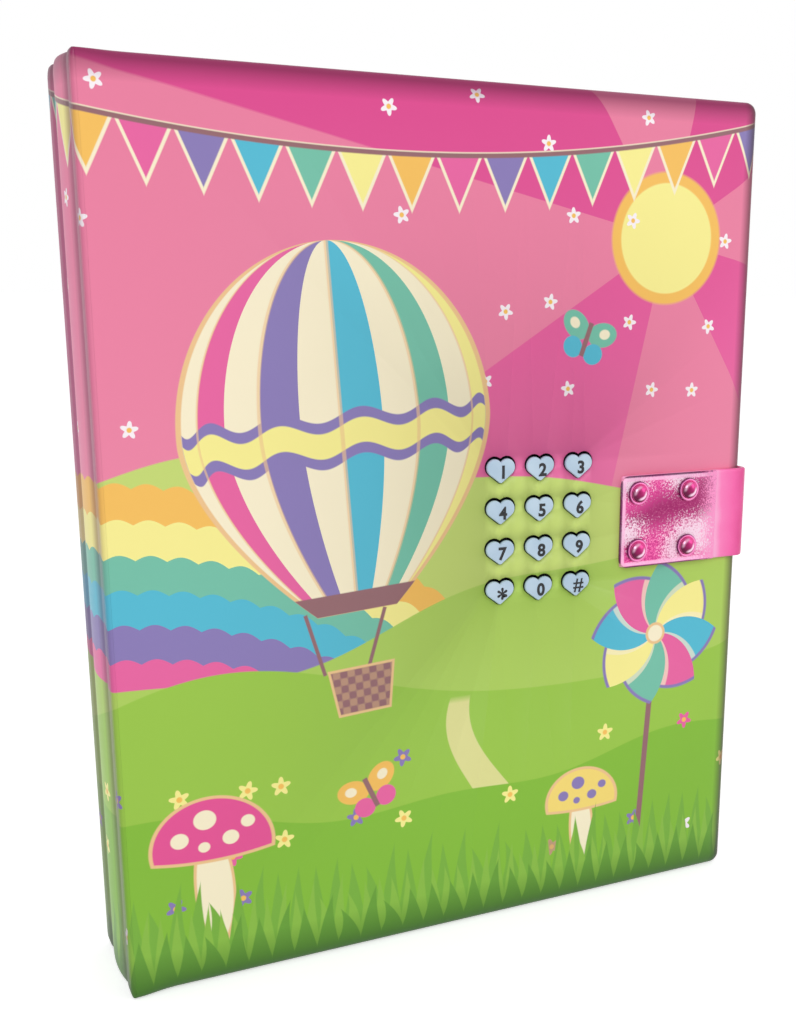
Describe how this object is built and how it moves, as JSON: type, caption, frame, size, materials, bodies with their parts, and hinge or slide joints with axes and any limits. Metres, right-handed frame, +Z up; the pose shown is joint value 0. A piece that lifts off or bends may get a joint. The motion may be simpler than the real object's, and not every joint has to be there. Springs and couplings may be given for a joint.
{
  "type": "electronic secret diary",
  "caption": "Padded hard-cover diary with a heart-key keypad, a riveted wrap-round strap with a latch tongue, an electric bolt lock and a bound notebook in an inner case.",
  "frame": {"origin": "middle of the diary's footprint, on the surface that it stands on", "axes": "+X from the spine to the fore-edge, +Y from the front cover to the back cover, +Z up"},
  "size_m": [0.1816, 0.038, 0.222],
  "materials": {
    "printed_cover": "satin",
    "foam": "matte",
    "board": "matte",
    "lining_paper": "matte",
    "case_plastic": "satin",
    "dark_plastic": "matte",
    "screw_steel": "satin",
    "cell_jacket": "gloss",
    "spring_steel": "satin",
    "copper_winding": "gloss",
    "bolt_steel": "polished",
    "dark_steel": "satin",
    "cone_paper": "matte",
    "circuit_board": "satin",
    "component_black": "satin",
    "ribbon_cable": "satin",
    "wire_red": "satin",
    "pages": "matte",
    "binding_cloth": "matte",
    "keypad_rubber": "matte",
    "strap_pink": "satin",
    "plate_pink_metal": "satin",
    "rivet_pink_metal": "gloss",
    "key_plastic": "satin"
  },
  "bodies": {
    "base": {"back_wrap": "printed_cover", "back_foam": "foam", "back_board": "board", "back_lining": "lining_paper", "inner_case": "case_plastic", "electronics_deck": "case_plastic", "deck_screws": "screw_steel", "battery_door": "case_plastic", "battery_door_screw": "screw_steel", "battery_box": "dark_plastic", "batteries": "cell_jacket", "battery_contacts": "spring_steel", "lock_housing": "dark_plastic", "solenoid_frame": "spring_steel", "solenoid_coil": "copper_winding", "speaker": "dark_steel", "speaker_cone": "cone_paper", "main_circuit_board": "circuit_board", "board_components": "component_black", "base_ribbon_cable": "ribbon_cable", "inner_wires": "wire_red", "page_block": "pages", "binding_strip": "binding_cloth"},
    "spine": {"spine_wrap": "printed_cover", "spine_board": "board", "spine_lining": "lining_paper", "spine_ribbon_cable": "ribbon_cable"},
    "front_cover": {"front_wrap": "printed_cover", "front_foam": "foam", "front_board": "board", "front_lining": "lining_paper", "keypad_housing": "case_plastic", "rubber_keypad": "keypad_rubber", "keypad_circuit_board": "circuit_board", "keypad_back_cover": "case_plastic", "keypad_screws": "screw_steel", "cover_ribbon_cable": "ribbon_cable", "strap_front": "strap_pink", "strap_bend": "strap_pink", "clasp_plate": "plate_pink_metal", "rivets": "rivet_pink_metal", "rivet_backing_plate": "spring_steel"},
    "strap_end": {"strap_flap": "strap_pink", "latch_tongue": "bolt_steel", "tongue_rivets": "rivet_pink_metal"},
    "lock_bolt": {"lock_bolt": "bolt_steel"},
    "front_leaves": {"front_leaves": "pages"},
    "middle_leaves": {"middle_leaves": "pages"},
    "key_1": {"key_1": "key_plastic"},
    "key_2": {"key_2": "key_plastic"},
    "key_3": {"key_3": "key_plastic"},
    "key_4": {"key_4": "key_plastic"},
    "key_5": {"key_5": "key_plastic"},
    "key_6": {"key_6": "key_plastic"},
    "key_7": {"key_7": "key_plastic"},
    "key_8": {"key_8": "key_plastic"},
    "key_9": {"key_9": "key_plastic"},
    "key_star": {"key_star": "key_plastic"},
    "key_0": {"key_0": "key_plastic"},
    "key_hash": {"key_hash": "key_plastic"}
  },
  "joints": [
    {"name": "spine_hinge", "type": "hinge", "parent": "base", "child": "spine", "pos_m": [-0.08989, 0.01872, 0.111], "axis": [0, 0, -1], "range_deg": [0, 90]},
    {"name": "front_cover_hinge", "type": "hinge", "parent": "spine", "child": "front_cover", "pos_m": [-0.08989, -0.01477, 0.111], "axis": [0, 0, -1], "range_deg": [0, 180]},
    {"name": "strap_hinge", "type": "hinge", "parent": "front_cover", "child": "strap_end", "pos_m": [0.08705, -0.01358, 0.1104], "axis": [0, 0, -1], "range_deg": [0, 90], "deforming": ["strap_bend"]},
    {"name": "lock_bolt_slide", "type": "slide", "parent": "base", "child": "lock_bolt", "axis": [0, 0, 1], "range_m": [0, 0.004]},
    {"name": "front_leaves_hinge", "type": "hinge", "parent": "base", "child": "front_leaves", "pos_m": [-0.08185, -0.00103, 0.111], "axis": [0, 0, -1], "range_deg": [0, 90]},
    {"name": "middle_leaves_hinge", "type": "hinge", "parent": "base", "child": "middle_leaves", "pos_m": [-0.07965, 0.00112, 0.111], "axis": [0, 0, -1], "range_deg": [0, 63]},
    {"name": "key_1_press", "type": "slide", "parent": "front_cover", "child": "key_1", "axis": [0, 1, 0], "range_m": [0, 0.0008], "stiffness_N_per_m": 600, "deforming": ["rubber_keypad"]},
    {"name": "key_2_press", "type": "slide", "parent": "front_cover", "child": "key_2", "axis": [0, 1, 0], "range_m": [0, 0.0008], "stiffness_N_per_m": 600, "deforming": ["rubber_keypad"]},
    {"name": "key_3_press", "type": "slide", "parent": "front_cover", "child": "key_3", "axis": [0, 1, 0], "range_m": [0, 0.0008], "stiffness_N_per_m": 600, "deforming": ["rubber_keypad"]},
    {"name": "key_4_press", "type": "slide", "parent": "front_cover", "child": "key_4", "axis": [0, 1, 0], "range_m": [0, 0.0008], "stiffness_N_per_m": 600, "deforming": ["rubber_keypad"]},
    {"name": "key_5_press", "type": "slide", "parent": "front_cover", "child": "key_5", "axis": [0, 1, 0], "range_m": [0, 0.0008], "stiffness_N_per_m": 600, "deforming": ["rubber_keypad"]},
    {"name": "key_6_press", "type": "slide", "parent": "front_cover", "child": "key_6", "axis": [0, 1, 0], "range_m": [0, 0.0008], "stiffness_N_per_m": 600, "deforming": ["rubber_keypad"]},
    {"name": "key_7_press", "type": "slide", "parent": "front_cover", "child": "key_7", "axis": [0, 1, 0], "range_m": [0, 0.0008], "stiffness_N_per_m": 600, "deforming": ["rubber_keypad"]},
    {"name": "key_8_press", "type": "slide", "parent": "front_cover", "child": "key_8", "axis": [0, 1, 0], "range_m": [0, 0.0008], "stiffness_N_per_m": 600, "deforming": ["rubber_keypad"]},
    {"name": "key_9_press", "type": "slide", "parent": "front_cover", "child": "key_9", "axis": [0, 1, 0], "range_m": [0, 0.0008], "stiffness_N_per_m": 600, "deforming": ["rubber_keypad"]},
    {"name": "key_star_press", "type": "slide", "parent": "front_cover", "child": "key_star", "axis": [0, 1, 0], "range_m": [0, 0.0008], "stiffness_N_per_m": 600, "deforming": ["rubber_keypad"]},
    {"name": "key_0_press", "type": "slide", "parent": "front_cover", "child": "key_0", "axis": [0, 1, 0], "range_m": [0, 0.0008], "stiffness_N_per_m": 600, "deforming": ["rubber_keypad"]},
    {"name": "key_hash_press", "type": "slide", "parent": "front_cover", "child": "key_hash", "axis": [0, 1, 0], "range_m": [0, 0.0008], "stiffness_N_per_m": 600, "deforming": ["rubber_keypad"]}
  ],
  "couplings": [
    {"joint": "front_leaves_hinge", "follows": "front_cover_hinge", "ratio": 0.5},
    {"joint": "middle_leaves_hinge", "follows": "front_cover_hinge", "ratio": 0.35}
  ]
}
